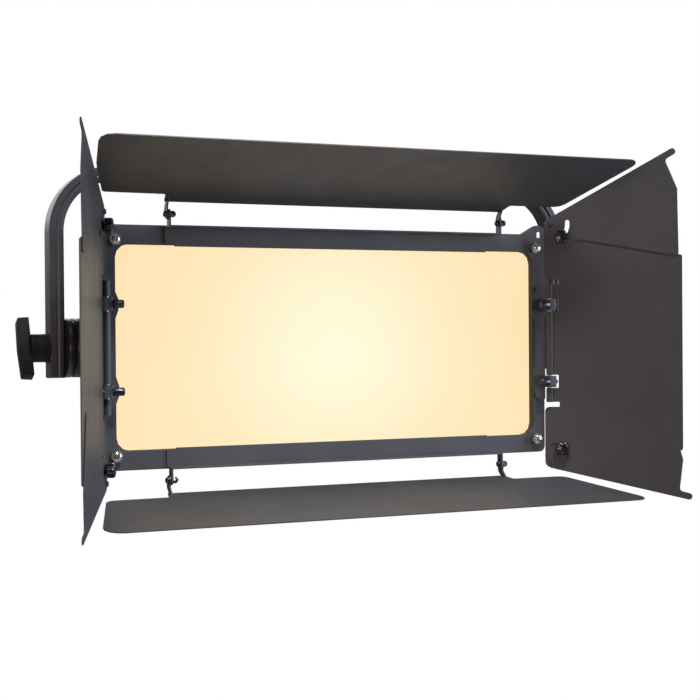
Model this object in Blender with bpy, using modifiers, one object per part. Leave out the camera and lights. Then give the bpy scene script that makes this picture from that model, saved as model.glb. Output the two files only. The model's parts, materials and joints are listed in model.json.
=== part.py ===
"""Soft LED panel light with barn doors, hung from a U-shaped yoke.

Metres, +Z up, the light faces -Y and +X is on the right when it is looked at from the front.
The origin is the middle of the yoke crossbar's top face, where the hanging bolt goes.
"""
from math import acos, atan2, ceil, cos, pi, radians, sin, tan

import bmesh
import bpy
from mathutils import Matrix, Vector

# ---- driving dimensions ----
GAP = 0.0003                    # clearance between pieces that touch
RUNNING = 0.0006                # clearance round a pivot

YOKE_HALF = 0.375               # outer face of an arm, from the middle
YOKE_THICK = 0.019              # bar section, in the plane of the U
YOKE_DEPTH = 0.030              # bar section, front to back
YOKE_BEND = 0.085               # outer radius of the two bends
YOKE_TAIL = 0.038               # arm below the tilt axis
YOKE_LIP = 0.0085               # width of the outer band along the bar's faces
YOKE_STEP = 0.0022              # depth of the groove beside it
PIVOT_Z = -0.232                # tilt axis below the crossbar's top

FRAME_FRONT = -0.055            # front face of the barn-door frame
FRAME_HALF = Vector((0.320, 0.154))
FRAME_SHEET = 0.002
WINDOW_HALF = Vector((0.302, 0.130))
WINDOW_CORNER = 0.017
SCREW_X = 0.3035
SCREW_Z = 0.135
BEZEL_HALF = Vector((0.316, 0.151))
BEZEL_THICK = 0.0097

HOUSING_HALF = Vector((0.312, 0.148))
HOUSING_WALL = 0.0025
HOUSING_BACK = 0.050
COVER_THICK = 0.0025

DISC_RADIUS = 0.0375
HUB_FLANGE_X = 0.338            # face where the panel's hub meets the yoke's disc
STUD_RADIUS = 0.005
HANDLE_ANGLE = radians(25)      # the wing's lower end leans to the front
HANDLE_NEAR = 0.0215            # wing's inner face, from the arm
HANDLE_THICK = 0.0145
HANDLE_HALF = 0.0400            # half length of the wing
HANDLE_BOSS = 0.0186            # boss radius

HINGE_OUT = 0.017               # hinge lines in front of the frame
HINGE_Z = 0.167                 # top and bottom hinge lines, from the tilt axis
HINGE_X = 0.318                 # side hinge lines
SHEET = 0.0015                  # barn-door sheet
WIDE_OFFSET = 0.016             # top and bottom doors' inner face, from their hinge line
WIDE_REACH = 0.170
WIDE_INNER = 0.326              # half width of the top and bottom doors by their hinge
TOP_HALF = 0.369                # and at their outer edge
BOTTOM_HALF = 0.3715
SIDE_OFFSET = 0.0034            # side doors' inner face, from their hinge line
SIDE_REACH = 0.185
POST_X = 0.238                  # where a hook meets its post
TOP_ANGLE = radians(20.5)       # doors as they stand, from straight ahead
BOTTOM_ANGLE = radians(7.7)
LEFT_ANGLE = radians(22)
RIGHT_ANGLE = radians(60)

RIVET_S = 0.003                 # leaf pivot on a side door
RIVET_Z = 0.1675
STUD_OUT = 0.0232               # locking knob from the leaf pivot
STUD_TURN = radians(-53)
SLOT_TURN = (radians(8), radians(-70))   # ends of a leaf's arc slot
LEAF_FOLD = {"left_upper": radians(4.8), "left_lower": radians(17.7),
             "right_upper": 0.0, "right_lower": radians(16.2)}   # inward, as they stand
CLIP_Z = 0.054                  # clips of a side hinge, from the middle
CLIP_HALF = 0.008
KNUCKLE_RADIUS = 0.0049
ROD_RADIUS = 0.003
ROD_HALF = 0.083

REAR = HOUSING_BACK + GAP + COVER_THICK
CONTROL_HALF = Vector((0.075, 0.031))
CONTROL_Z = PIVOT_Z - 0.097
CONNECTOR_Z = PIVOT_Z - 0.115
CONNECTORS = {"power_inlet": -0.215, "power_outlet": -0.165,
              "data_inlet": 0.165, "data_outlet": 0.215}
PANEL_LOW = REAR + GAP          # rear control panel, front and back face
PANEL_HIGH = PANEL_LOW + 0.002
BUTTON_RADIUS = 0.0050
BUTTON_PLACES = {"menu": (0.010, 0.012), "up": (0.030, 0.012), "down": (0.030, -0.012),
                 "enter": (0.010, -0.012)}   # from the panel's middle
DIAL_X = 0.054
FAN_Z = PIVOT_Z + 0.075
FAN_SPAN = (0.0315, 0.0405)     # front and back of the fan's body
FAN_BORE = 0.0375
FAN_HUB = 0.014
SCREW_SHANK = 0.0019            # thumbscrew shank radius
LEAF_STUD = 0.0021              # leaf rivet and locking screw radius
KNOB_REACH = 0.0094             # locking knob's mean radius, and how far its lobes vary
KNOB_LOBE = 0.0013
KNOB_TOP = 0.0130               # its height above the leaf

# ---- collections and materials ----
for old in list(bpy.data.objects):
    bpy.data.objects.remove(old)
PARTS = bpy.data.collections.new("led_panel_light")
TOOLS = bpy.data.collections.new("cutters")
bpy.context.scene.collection.children.link(PARTS)
bpy.context.scene.collection.children.link(TOOLS)


def material(name, color, roughness, metallic=0.0):
    """A Principled material."""
    made = bpy.data.materials.new(name)
    made.use_nodes = True
    shader = made.node_tree.nodes["Principled BSDF"]
    shader.inputs["Base Color"].default_value = (*color, 1.0)
    shader.inputs["Roughness"].default_value = roughness
    shader.inputs["Metallic"].default_value = metallic
    return made


DOOR_BLACK = material("door_black", (0.045, 0.045, 0.050), 0.55)
FRAME_BLACK = material("frame_black", (0.050, 0.050, 0.052), 0.50)
YOKE_GREY = material("yoke_grey", (0.090, 0.100, 0.115), 0.42, 0.4)
HOUSING_BLACK = material("housing_black", (0.035, 0.035, 0.038), 0.5)
KNOB_BLACK = material("knob_black", (0.012, 0.012, 0.013), 0.25)
GRIP_BLACK = material("grip_black", (0.040, 0.042, 0.046), 0.45)
NICKEL = material("nickel", (0.80, 0.77, 0.70), 0.22, 1.0)
STEEL = material("steel", (0.30, 0.30, 0.32), 0.35, 1.0)
ALUMINIUM = material("aluminium", (0.62, 0.62, 0.64), 0.35, 1.0)
OPAL = material("opal", (1.0, 0.88, 0.68), 0.6)
WHITE = material("white", (0.90, 0.90, 0.88), 0.5)
BOARD_GREEN = material("board_green", (0.03, 0.14, 0.06), 0.5)
SCREEN = material("screen", (0.02, 0.03, 0.04), 0.12)


# ---- outlines ----
def filleted(corners):
    """A closed outline from (x, y, radius) corners, with each corner rounded."""
    points = []
    count = len(corners)
    for index, (x, y, radius) in enumerate(corners):
        corner = Vector((x, y))
        if radius <= 0:
            points.append(corner)
            continue
        before = (Vector(corners[index - 1][:2]) - corner).normalized()
        after = (Vector(corners[(index + 1) % count][:2]) - corner).normalized()
        opening = acos(max(-1.0, min(1.0, before.dot(after))))
        tangent = radius / tan(opening / 2)
        centre = corner + (before + after).normalized() * radius / sin(opening / 2)
        start = corner + before * tangent - centre
        end = corner + after * tangent - centre
        turn = atan2(start.x * end.y - start.y * end.x, start.dot(end))
        steps = max(2, ceil(abs(turn) / radians(34)))
        for step in range(steps + 1):
            angle = atan2(start.y, start.x) + turn * step / steps
            points.append(centre + radius * Vector((cos(angle), sin(angle))))
    return points


def rectangle(half, radius=0.0, centre=(0.0, 0.0)):
    """A rectangle about a centre, with rounded corners."""
    signs = ((-1, -1), (1, -1), (1, 1), (-1, 1))
    return filleted([(centre[0] + a * half[0], centre[1] + b * half[1], radius) for a, b in signs])


def circle(radius, centre=(0.0, 0.0), sides=16):
    """A circle as a polygon."""
    angles = [2 * pi * (side + 0.5) / sides for side in range(sides)]
    return [Vector((centre[0] + radius * cos(a), centre[1] + radius * sin(a))) for a in angles]


def arc_slot(radius, half_width, first, last, centre=(0.0, 0.0)):
    """A slot that follows a circle from one angle to another, with round ends."""
    points = []
    for track, start, end in ((radius + half_width, first, last), (radius - half_width, last, first)):
        for step in range(6):
            angle = start + (end - start) * step / 5
            points.append(Vector((track * cos(angle), track * sin(angle))))
        nose = radius * Vector((cos(end), sin(end)))
        spin = end if track > radius else end + pi
        side = 1 if last > first else -1
        for step in (1, 2, 3):
            angle = spin + side * pi * step / 4
            points.append(nose + half_width * Vector((cos(angle), sin(angle))))
    return [Vector(centre) + point for point in points]


def fluted(sides, crest, root):
    """A round outline whose corners lie on two radii in turn."""
    points = []
    for side in range(sides):
        angle = 2 * pi * (side + 0.5) / sides
        reach = crest if side % 2 else root
        points.append(Vector((reach * cos(angle), reach * sin(angle))))
    return points


# ---- solids ----
def finish(obj, name, look, parent=None):
    """Name a solid, give it its material and put it with the parts."""
    obj.name = name
    obj.data.name = name
    obj.data.materials.clear()
    obj.data.materials.append(look)
    obj.data.shade_smooth()
    obj.data.set_sharp_from_angle(angle=radians(35))
    obj.parent = parent
    return obj


def from_bmesh(shape, name="piece"):
    """An object in the parts collection from a bmesh."""
    bmesh.ops.recalc_face_normals(shape, faces=shape.faces)
    mesh = bpy.data.meshes.new(name)
    shape.to_mesh(mesh)
    shape.free()
    obj = bpy.data.objects.new(name, mesh)
    PARTS.objects.link(obj)
    return obj


def box(low, high):
    """A box between two corners."""
    shape = bmesh.new()
    bmesh.ops.create_cube(shape, size=1.0)
    low = Vector(low)
    high = Vector(high)
    for vertex in shape.verts:
        vertex.co = (low + high) / 2 + Vector([c * s for c, s in zip(vertex.co, high - low)])
    return from_bmesh(shape)


def rod(start, end, radius, sides=16, end_radius=None):
    """A cylinder or cone between two points."""
    start = Vector(start)
    along = Vector(end) - start
    shape = bmesh.new()
    bmesh.ops.create_cone(
        shape, cap_ends=True, segments=sides, radius1=radius,
        radius2=radius if end_radius is None else end_radius, depth=along.length,
        matrix=Matrix.Translation((0, 0, along.length / 2)))
    turn = along.to_track_quat("Z", "Y").to_matrix().to_4x4()
    bmesh.ops.transform(shape, matrix=Matrix.Translation(start) @ turn, verts=shape.verts)
    return from_bmesh(shape)


def sheet(outline, low, high, holes=(), basis=None):
    """A flat outline with holes, filled from one height to another along its own Z."""
    curve = bpy.data.curves.new("outline", "CURVE")
    curve.dimensions = "2D"
    curve.fill_mode = "BOTH"
    curve.extrude = (high - low) / 2
    for loop in (outline, *holes):
        spline = curve.splines.new("POLY")
        spline.points.add(len(loop) - 1)
        for point, place in zip(spline.points, loop):
            point.co = (place[0], place[1], 0.0, 1.0)
        spline.use_cyclic_u = True
    flat = bpy.data.objects.new("outline", curve)
    PARTS.objects.link(flat)
    bpy.context.view_layer.update()
    solid = bpy.data.meshes.new_from_object(flat.evaluated_get(bpy.context.evaluated_depsgraph_get()))
    bpy.data.objects.remove(flat)
    shape = bmesh.new()
    shape.from_mesh(solid)
    bmesh.ops.remove_doubles(shape, verts=shape.verts, dist=0.00001)
    bmesh.ops.translate(shape, vec=(0, 0, (low + high) / 2), verts=shape.verts)
    if basis is not None:
        bmesh.ops.transform(shape, matrix=basis, verts=shape.verts)
    return from_bmesh(shape)


def turned(profile, basis, steps=24):
    """A ring with a bore: a closed (radius, height) profile, outer side first, spun by Screw."""
    shape = bmesh.new()
    corners = [shape.verts.new((radius, 0.0, height)) for radius, height in profile]
    for index, corner in enumerate(corners):
        shape.edges.new((corners[index - 1], corner))
    mesh = bpy.data.meshes.new("profile")
    shape.to_mesh(mesh)
    shape.free()
    obj = bpy.data.objects.new("profile", mesh)
    PARTS.objects.link(obj)
    spin = obj.modifiers.new("spin", "SCREW")
    spin.steps = steps
    spin.render_steps = steps
    spin.use_normal_calculate = True
    spin.use_merge_vertices = True
    spin.merge_threshold = 0.00001
    bpy.context.view_layer.update()
    solid = bpy.data.meshes.new_from_object(obj.evaluated_get(bpy.context.evaluated_depsgraph_get()))
    bpy.data.objects.remove(obj)
    shape = bmesh.new()
    shape.from_mesh(solid)
    bmesh.ops.remove_doubles(shape, verts=shape.verts, dist=0.00001)
    bmesh.ops.transform(shape, matrix=basis, verts=shape.verts)
    return from_bmesh(shape)


def combine(base, others, operation):
    """Add a Boolean modifier for each other solid, which becomes a hidden tool that follows the base."""
    for other in others:
        PARTS.objects.unlink(other)
        TOOLS.objects.link(other)
        other.name = "tool"
        other.parent = base
        other.hide_render = True
        other.display_type = "WIRE"
        step = base.modifiers.new(operation.lower(), "BOOLEAN")
        step.operation = operation
        step.solver = "EXACT"
        step.object = other
    return base


def joined(base, *others):
    """A solid with others welded to it."""
    return combine(base, others, "UNION")


def cut(base, *others):
    """A solid with others taken out of it."""
    return combine(base, others, "DIFFERENCE")


def axis_empty(name, basis, parent=None):
    """An empty on a joint's axis, placed in its parent's frame, that carries the pieces turning there."""
    empty = bpy.data.objects.new(name, None)
    empty.empty_display_size = 0.02
    empty.parent = parent
    empty.matrix_basis = basis
    PARTS.objects.link(empty)
    return empty


def basis_at(origin, x_axis, y_axis):
    """A placing matrix from an origin and two directions."""
    x_axis = Vector(x_axis).normalized()
    y_axis = Vector(y_axis).normalized()
    columns = (x_axis, y_axis, x_axis.cross(y_axis))
    turn = Matrix([[column[row] for column in columns] for row in range(3)]).to_4x4()
    return Matrix.Translation(origin) @ turn


def on_front(y=0.0):
    """Outlines drawn as (x, height from the tilt axis), thickness towards +Y."""
    return basis_at((0.0, y, PIVOT_Z), (-1, 0, 0), (0, 0, 1))


def mirrored_x(outline):
    """The same outline, seen the other way round."""
    return [Vector((-point[0], point[1])) for point in outline]


# ---- yoke ----
def yoke_path():
    """Points and outward directions along the U, from the left arm's end to the right arm's."""
    straight = YOKE_HALF - YOKE_BEND
    stops = [(Vector((-YOKE_HALF, 0, PIVOT_Z - YOKE_TAIL)), Vector((-1, 0, 0)))]
    for side in (-1, 1):
        centre = Vector((side * straight, 0, -YOKE_BEND))
        for step in range(7):
            turn = pi / 2 * step / 6
            angle = pi - turn if side < 0 else pi / 2 - turn
            outward = Vector((cos(angle), 0, sin(angle)))
            stops.append((centre + YOKE_BEND * outward, outward))
    stops.append((Vector((YOKE_HALF, 0, PIVOT_Z - YOKE_TAIL)), Vector((1, 0, 0))))
    return stops


def yoke_section():
    """The bar's section as (depth into the U, y): an outer band, a groove and a rounded inner band."""
    front = YOKE_DEPTH / 2
    chamfer = 0.001
    crest = YOKE_LIP + 0.0045
    half = [(0.0, front - chamfer), (chamfer, front), (YOKE_LIP, front),
            (YOKE_LIP + 0.0006, front - YOKE_STEP), (crest, front - YOKE_STEP / 3),
            (YOKE_THICK - 0.0030, front - YOKE_STEP / 2), (YOKE_THICK, front - YOKE_STEP - 0.0020)]
    return half + [(depth, -y) for depth, y in reversed(half)]


def yoke():
    """The bent bar, lofted from its section, with its holes."""
    shape = bmesh.new()
    rings = []
    for place, outward in yoke_path():
        ring = [shape.verts.new(place - outward * depth + Vector((0, y, 0)))
                for depth, y in yoke_section()]
        rings.append(ring)
    for first, second in zip(rings, rings[1:]):
        for index in range(len(first)):
            shape.faces.new((first[index - 1], first[index], second[index], second[index - 1]))
    shape.faces.new(rings[0])
    shape.faces.new(rings[-1])
    bar = from_bmesh(shape)
    tools = [rod((0, 0, 0.01), (0, 0, -0.03), 0.0065)]
    for side in (-1, 1):
        tools.append(rod((side * 0.045, 0, 0.01), (side * 0.045, 0, -0.03), 0.0042))
        tools.append(rod((side * 0.34, 0, PIVOT_Z), (side * 0.39, 0, PIVOT_Z), STUD_RADIUS + RUNNING))
        for face in (-1, 1):
            tail = YOKE_TAIL + 0.004
            corner = filleted([(-0.020, -tail, 0), (0.020, -tail, 0), (0.020, -0.018, 0),
                               (0.0155, -YOKE_TAIL + 0.0005, 0.008), (0.0, -YOKE_TAIL, 0),
                               (-0.020, -YOKE_TAIL, 0)])
            turn = basis_at((side * 0.365, 0, PIVOT_Z), (0, face, 0), (0, 0, 1))
            tools.append(sheet(corner, -0.03, 0.03, basis=turn))
    return finish(cut(bar, *tools), "yoke", YOKE_GREY)


def tilt_disc(side, name):
    """The friction disc fixed to the arm: a smooth rim by the arm and a grooved one."""
    face = HUB_FLANGE_X + GAP
    arm = YOKE_HALF - YOKE_THICK - GAP
    bore = STUD_RADIUS + RUNNING
    rim = DISC_RADIUS
    profile = [(rim, arm), (rim, arm - 0.0085), (rim - 0.0025, arm - 0.009), (rim - 0.0025, arm - 0.0105),
               (rim, arm - 0.011), (rim, face), (bore, face), (bore, arm)]
    basis = basis_at((0, 0, PIVOT_Z), (0, side, 0), (0, 0, 1))
    return finish(turned(profile, basis), name, GRIP_BLACK)


def tilt_hub(side, name):
    """The hub fixed to the housing: spigot through the wall, boss and flange."""
    wall = HOUSING_HALF[0]
    rim = DISC_RADIUS
    bore = STUD_RADIUS + RUNNING
    profile = [(rim, HUB_FLANGE_X), (rim, HUB_FLANGE_X - 0.012), (0.030, HUB_FLANGE_X - 0.015),
               (0.030, wall + GAP), (0.012, wall + GAP), (0.012, wall - 0.004), (bore, wall - 0.004),
               (bore, HUB_FLANGE_X)]
    basis = basis_at((0, 0, PIVOT_Z), (0, side, 0), (0, 0, 1))
    return finish(turned(profile, basis), name, HOUSING_BLACK)


def tilt_handle(side, name):
    """The T-shaped locking handle: wing, boss and the stud that screws into the hub."""
    arm = YOKE_HALF + GAP
    turn = Matrix.Translation((0, 0, PIVOT_Z)) @ Matrix.Rotation(-HANDLE_ANGLE, 4, "X")
    boss = rod((side * arm, 0, 0), (side * (arm + HANDLE_NEAR + 0.002), 0, 0), HANDLE_BOSS, 24,
               HANDLE_BOSS - 0.001)
    near = arm + HANDLE_NEAR
    far = near + HANDLE_THICK
    half = HANDLE_HALF
    profile = filleted([(near, -half, 0.0015), (near, half, 0.0015), (far, half - 0.0010, 0.0020),
                        (far + 0.0015, 0.0, 0.03), (far, -half + 0.0010, 0.0020)])
    wing = sheet(profile, -0.0085, 0.0085, basis=basis_at((0, 0, 0), (side, 0, 0), (0, 0, 1)))
    stud = rod((side * (arm + 0.01), 0, 0), (side * 0.320, 0, 0), STUD_RADIUS)
    handle = joined(boss, wing, stud)
    handle.matrix_basis = turn
    return finish(handle, name, GRIP_BLACK)


# ---- lamp head ----
def housing():
    """The case: a rounded rectangular tube with a hole for each hub."""
    inner = HOUSING_HALF - Vector((HOUSING_WALL, HOUSING_WALL))
    front = FRAME_FRONT + FRAME_SHEET + GAP + BEZEL_THICK + GAP
    shell = sheet(rectangle(HOUSING_HALF, 0.008), front, HOUSING_BACK, [rectangle(inner, 0.006)],
                  on_front())
    holes = [rod((s * 0.30, 0, PIVOT_Z), (s * 0.32, 0, PIVOT_Z), 0.012 + RUNNING) for s in (-1, 1)]
    return finish(cut(shell, *holes), "housing", HOUSING_BLACK)


def front_bezel():
    """The extruded surround that the barn-door frame screws to."""
    low = FRAME_FRONT + FRAME_SHEET + GAP
    holes = [rectangle(WINDOW_HALF - Vector((0.0005, 0.0005)), WINDOW_CORNER)]
    holes += [circle(0.0024, (a * SCREW_X, b * SCREW_Z), 10) for a in (-1, 1) for b in (-1, 1)]
    ring = sheet(rectangle(BEZEL_HALF, 0.010), low, low + BEZEL_THICK, holes, on_front())
    return finish(ring, "front_bezel", HOUSING_BLACK)


def diffuser():
    """The opal sheet that glows."""
    low = FRAME_FRONT + FRAME_SHEET + 2 * GAP + BEZEL_THICK
    pane = sheet(rectangle((0.308, 0.144), 0.004), low, low + 0.003, (), on_front())
    return finish(pane, "diffuser", OPAL)


def light_chamber():
    """White reflecting walls between the LED board and the diffuser."""
    low = FRAME_FRONT + FRAME_SHEET + 3 * GAP + BEZEL_THICK + 0.003
    walls = box((-0.307, low, PIVOT_Z - 0.143), (0.307, 0.003, PIVOT_Z + 0.143))
    mouth = bmesh.new()
    bmesh.ops.create_cube(mouth, size=1.0)
    for vertex in mouth.verts:
        front = vertex.co.y < 0
        half = Vector((0.303, 0.139)) if front else Vector((0.288, 0.124))
        vertex.co = Vector((2 * vertex.co.x * half.x, low - 0.001 if front else 0.004,
                            PIVOT_Z + 2 * vertex.co.z * half.y))
    return finish(cut(walls, from_bmesh(mouth)), "light_chamber", WHITE)


def led_board():
    """The aluminium-backed board with its rows of LEDs."""
    board = box((-0.300, 0.0033, PIVOT_Z - 0.138), (0.300, 0.0049, PIVOT_Z + 0.138))
    chips = []
    for row in range(4):
        strip = bmesh.new()
        for column in range(8):
            middle = Vector((0.070 * (column - 3.5), 0.0030, PIVOT_Z + 0.060 * (row - 1.5)))
            bmesh.ops.create_cube(strip, size=1.0, matrix=Matrix.Translation(middle)
                                  @ Matrix.Diagonal((0.005, 0.0016, 0.005, 1.0)))
        chips.append(from_bmesh(strip))
    return finish(joined(board, *chips), "led_board", WHITE)


def heat_sink():
    """Base plate with upright fins over its upper half."""
    base = box((-0.300, 0.0052, PIVOT_Z - 0.138), (0.300, 0.0092, PIVOT_Z + 0.138))
    fins = bmesh.new()
    for index in range(15):
        middle = Vector((0.038 * (index - 7), 0.0195, PIVOT_Z + 0.074))
        bmesh.ops.create_cube(fins, size=1.0, matrix=Matrix.Translation(middle)
                              @ Matrix.Diagonal((0.0025, 0.0215, 0.124, 1.0)))
    return finish(joined(base, from_bmesh(fins)), "heat_sink", ALUMINIUM)


def rear_cover():
    """The back plate with its vents and cut-outs."""
    low = HOUSING_BACK + GAP
    holes = [rectangle((0.066, 0.024), 0.003, (0, CONTROL_Z - PIVOT_Z))]
    holes += [circle(0.0118, (x, CONNECTOR_Z - PIVOT_Z)) for x in CONNECTORS.values()]
    for side in (-1, 1):
        for index in range(6):
            holes.append(rectangle((0.003, 0.040), 0.0, (side * (0.110 + 0.030 * index), 0.072)))
    for index in range(5):
        across = 0.013 * (index - 2)
        holes.append(rectangle((0.0035, (0.034 ** 2 - across ** 2) ** 0.5), 0.0, (across, 0.075)))
    plate = sheet(rectangle(HOUSING_HALF, 0.008), low, low + COVER_THICK, holes, on_front())
    return finish(plate, "rear_cover", HOUSING_BLACK)


def power_supply():
    """The mains supply in its case, with its terminal block."""
    case = box((-0.290, 0.0096, PIVOT_Z - 0.088), (-0.130, 0.040, PIVOT_Z + 0.004))
    block = box((-0.131, 0.0096, PIVOT_Z - 0.080), (-0.118, 0.026, PIVOT_Z - 0.004))
    slots = [box((-0.124, 0.018, z - 0.003), (-0.117, 0.030, z + 0.003))
             for z in [PIVOT_Z - 0.070 + 0.014 * index for index in range(5)]]
    return finish(cut(joined(case, block), *slots), "power_supply", ALUMINIUM)


def driver_board():
    """The LED driver's board with its larger components."""
    board = box((0.120, 0.0135, PIVOT_Z - 0.088), (0.290, 0.0151, PIVOT_Z + 0.004))
    legs = [rod((x, 0.0096, z), (x, 0.0140, z), 0.003, 8)
            for x in (0.126, 0.284) for z in (PIVOT_Z - 0.082, PIVOT_Z - 0.002)]
    coils = [rod((x, 0.0145, PIVOT_Z - 0.060), (x, 0.032, PIVOT_Z - 0.060), 0.009, 12)
             for x in (0.150, 0.190)]
    blocks = [box((x, 0.0145, PIVOT_Z - 0.034), (x + 0.022, 0.026, PIVOT_Z - 0.012))
              for x in (0.140, 0.190, 0.240)]
    return finish(joined(board, *legs, *coils, *blocks), "driver_board", BOARD_GREEN)


def fan_frame():
    """Square cooling fan body with the spider that carries the motor."""
    low, high = FAN_SPAN
    corners = [circle(0.002, (a * 0.0352, b * 0.0349), 6) for a in (-1, 1) for b in (-1, 1)]
    ring = sheet(rectangle((0.040, 0.040), 0.005), low, high, [circle(FAN_BORE, sides=20), *corners],
                 basis_at((0, 0, 0), (-1, 0, 0), (0, 0, 1)))
    hub = rod((0, high - 0.0020, 0), (0, high - 0.0003, 0), FAN_HUB)
    arms = []
    for turn in (radians(45), radians(135)):
        bar = basis_at((0, 0, 0), (cos(turn), 0, sin(turn)), (0, 1, 0))
        arms.append(sheet(rectangle((FAN_BORE + 0.001, 0.0006), 0, (0, high - 0.0011)), -0.002, 0.002,
                          basis=bar))
    body = finish(joined(ring, hub, *arms), "fan_frame", KNOB_BLACK)
    body.location = (0, 0, FAN_Z)
    return body


def fan_rotor():
    """Fan hub with its blades, about its own shaft."""
    low, high = FAN_SPAN
    hub = rod((0, low + 0.0005, 0), (0, high - 0.0024, 0), FAN_HUB)
    blades = []
    for index in range(7):
        blade = box((FAN_HUB - 0.002, -0.0006, -0.0034), (FAN_BORE - 0.002, 0.0006, 0.0034))
        spin = Matrix.Rotation(2 * pi * index / 7, 4, "Y")
        pitch = Matrix.Rotation(radians(60), 4, "X")
        blade.data.transform(Matrix.Translation((0, low + 0.0035, 0)) @ spin @ pitch)
        blades.append(blade)
    rotor = finish(joined(hub, *blades), "fan_rotor", KNOB_BLACK)
    rotor.location = (0, 0, FAN_Z)
    return rotor


# ---- rear controls and connectors ----
def control_panel():
    """The plate that holds the display, buttons and dial."""
    middle = CONTROL_Z - PIVOT_Z
    holes = [rectangle((0.0245, 0.0145), 0.0, (0.040, middle)), circle(0.0042, (-DIAL_X, middle))]
    holes += [circle(BUTTON_RADIUS + RUNNING, (-x, middle + z)) for x, z in BUTTON_PLACES.values()]
    plate = sheet(rectangle(CONTROL_HALF, 0.004, (0, middle)), PANEL_LOW, PANEL_HIGH, holes, on_front())
    return finish(plate, "control_panel", FRAME_BLACK)


def control_board():
    """The board behind the control panel, with a switch under each button."""
    board = box((-0.064, 0.0436, CONTROL_Z - 0.022), (0.064, 0.0452, CONTROL_Z + 0.022))
    pins = [rod((x, 0.0448, CONTROL_Z + z), (x, 0.0470, CONTROL_Z + z), 0.002, 8)
            for x, z in BUTTON_PLACES.values()]
    return finish(joined(board, *pins), "control_board", BOARD_GREEN)


def display():
    """The small screen, set in its opening."""
    screen = box((-0.0640, PANEL_LOW - 0.0065, CONTROL_Z - 0.0140),
                 (-0.0160, PANEL_HIGH + 0.0006, CONTROL_Z + 0.0140))
    return finish(screen, "display", SCREEN)


def button(name, x, z):
    """A push button about its own axis, kept in by the flange behind the panel."""
    stem = rod((0, PANEL_LOW - 0.0040, 0), (0, PANEL_HIGH + 0.0022, 0), BUTTON_RADIUS, 14)
    flange = rod((0, PANEL_LOW - 0.0042, 0), (0, PANEL_LOW - GAP, 0), BUTTON_RADIUS + 0.0016, 14)
    cap = finish(joined(stem, flange), "button_" + name, KNOB_BLACK)
    cap.location = (x, 0, CONTROL_Z + z)
    return cap


def dial():
    """The dimmer dial: a fluted knob on its shaft, about its own axis."""
    grip = sheet(fluted(24, 0.0105, 0.0099), PANEL_HIGH + 0.0006, PANEL_HIGH + 0.0135, (),
                 basis_at((0, 0, 0), (-1, 0, 0), (0, 0, 1)))
    shaft = rod((0, 0.0460, 0), (0, PANEL_HIGH + 0.002, 0), 0.0030)
    knob = finish(joined(grip, shaft), "dial", KNOB_BLACK)
    knob.location = (DIAL_X, 0, CONTROL_Z)
    return knob


def connector(name, x):
    """A round chassis connector on a square flange; an inlet has a cup, an outlet a cored face."""
    flange = sheet(rectangle((0.0130, 0.0155), 0.002, (-x, CONNECTOR_Z - PIVOT_Z)), REAR + GAP,
                   REAR + 0.0028, (), on_front())
    centre = Vector((x, 0, CONNECTOR_Z))
    barrel = rod(centre + Vector((0, 0.034, 0)), centre + Vector((0, REAR + 0.0045, 0)), 0.0112, 18)
    if name.endswith("inlet"):
        cup = rod(centre + Vector((0, 0.040, 0)), centre + Vector((0, REAR + 0.006, 0)), 0.0092, 14)
        pins = [rod(centre + Vector((dx, 0.038, dz)), centre + Vector((dx, REAR - 0.001, dz)), 0.0012, 6)
                for dx, dz in ((-0.004, 0.002), (0.004, 0.002), (0.0, -0.004))]
        return finish(joined(cut(joined(flange, barrel), cup), *pins), name, KNOB_BLACK)
    sockets = [rod(centre + Vector((dx, 0.044, dz)), centre + Vector((dx, REAR + 0.006, dz)), 0.0018, 6)
               for dx, dz in ((-0.004, 0.002), (0.004, 0.002), (0.0, -0.004))]
    return finish(cut(joined(flange, barrel), *sockets), name, KNOB_BLACK)


# ---- barn-door frame ----
def barn_frame():
    """The sheet frame round the window, with the safety-cable ear on its top right corner."""
    x, z = FRAME_HALF
    corner = 0.008
    outline = filleted([(-x, -z, corner), (x, -z, corner), (x, z - 0.009, 0.003),
                        (x + 0.004, z - 0.003, 0.004), (x + 0.0035, z + 0.0135, 0.0125),
                        (x - 0.016, z + 0.0125, 0.014), (x - 0.038, z, 0.006), (-x, z, corner)])
    holes = [rectangle(WINDOW_HALF, WINDOW_CORNER)]
    holes += [circle(0.0026, (a * SCREW_X, b * SCREW_Z), 10) for a in (-1, 1) for b in (-1, 1)]
    holes.append(rectangle((0.0028, 0.0042), 0.0016, (x - 0.0085, z - 0.0005)))
    flat = sheet(mirrored_x(outline), FRAME_FRONT, FRAME_FRONT + FRAME_SHEET,
                 [mirrored_x(hole) for hole in holes], on_front())
    return finish(flat, "barn_frame", FRAME_BLACK)


def thumbscrew(name, x, z):
    """A captive thumbscrew about its own axis: fluted head with a slot, and its shank in the surround."""
    front = FRAME_FRONT - GAP
    head = sheet(fluted(20, 0.0076, 0.0071), front - 0.0085, front, (),
                 basis_at((0, 0, 0), (-1, 0, 0), (0, 0, 1)))
    crown = rod((0, front - 0.0080, 0), (0, front - 0.0115, 0), 0.0068, 14, 0.0050)
    shank = rod((0, front - 0.001, 0), (0, front + 0.0100, 0), SCREW_SHANK, 8)
    slot = box((-0.0007, front - 0.013, -0.009), (0.0007, front - 0.0095, 0.009))
    screw = finish(cut(joined(head, crown, shank), slot), name, NICKEL)
    screw.location = (x, 0, PIVOT_Z + z)
    return screw


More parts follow.
